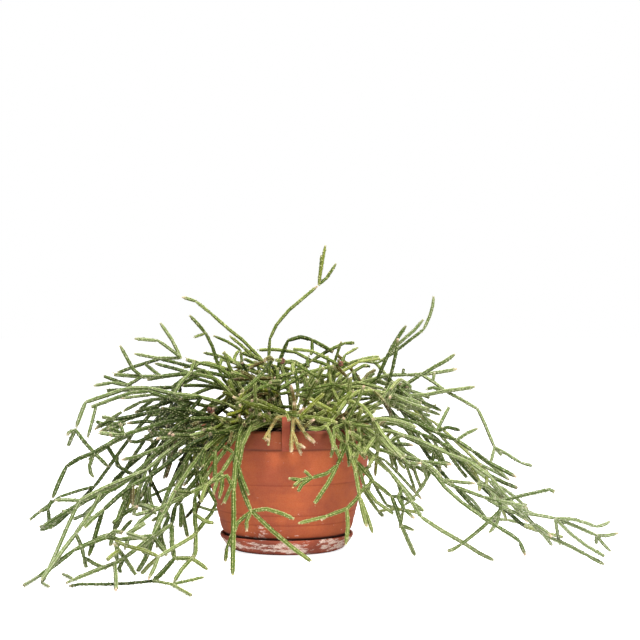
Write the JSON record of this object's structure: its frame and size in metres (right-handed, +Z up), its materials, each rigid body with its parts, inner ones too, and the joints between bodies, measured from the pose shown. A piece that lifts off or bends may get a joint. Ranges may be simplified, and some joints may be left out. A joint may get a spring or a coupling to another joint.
{
  "type": "potted rhipsalis prismatica",
  "caption": "Trailing angled-stem forest cactus growing from soil in a collared terracotta pot that stands on a round saucer.",
  "frame": {"origin": "middle of the saucer's underside, on the table", "axes": "+Z up, -Y towards the viewer of the picture, +X to the viewer's right"},
  "size_m": [0.5121, 0.4946, 0.2651],
  "materials": {
    "terracotta": "unglazed, matt",
    "saucer_terracotta": "unglazed, matt, with white lime bloom",
    "soil": "crumbly",
    "clip": "matt",
    "stems": "satin, ribbed"
  },
  "bodies": {
    "root": {"pot": "terracotta", "rim_clip": "clip", "saucer": "saucer_terracotta", "soil": "soil", "spray_arc_over": "stems", "spray_back_1": "stems", "spray_back_2": "stems", "spray_back_3": "stems", "spray_back_4": "stems", "spray_back_5": "stems", "spray_back_6": "stems", "spray_back_7": "stems", "spray_back_8": "stems", "spray_back_9": "stems", "spray_crown_1": "stems", "spray_crown_2": "stems", "spray_crown_3": "stems", "spray_crown_4": "stems", "spray_crown_5": "stems", "spray_front_cross": "stems", "spray_front_fleck": "stems", "spray_front_hang": "stems", "spray_front_lean": "stems", "spray_front_pale": "stems", "spray_front_rim": "stems", "spray_left_arm": "stems", "spray_left_behind": "stems", "spray_left_cross": "stems", "spray_left_down": "stems", "spray_left_drop": "stems", "spray_left_flat": "stems", "spray_left_fork": "stems", "spray_left_high": "stems", "spray_left_hub": "stems", "spray_left_knee": "stems", "spray_left_long": "stems", "spray_left_spear": "stems", "spray_left_sweep": "stems", "spray_left_thin": "stems", "spray_left_twin": "stems", "spray_left_veil": "stems", "spray_left_zig": "stems", "spray_right_arm": "stems", "spray_right_bar": "stems", "spray_right_bow": "stems", "spray_right_curtain": "stems", "spray_right_diagonal": "stems", "spray_right_drop": "stems", "spray_right_fan": "stems", "spray_right_high": "stems", "spray_right_long": "stems", "spray_right_pale": "stems", "spray_right_reach": "stems", "spray_right_splay": "stems", "spray_right_sweep": "stems", "spray_rim_tips": "stems", "spray_table_arc": "stems", "spray_table_run": "stems", "spray_tall_upright": "stems"}
  },
  "joints": []
}
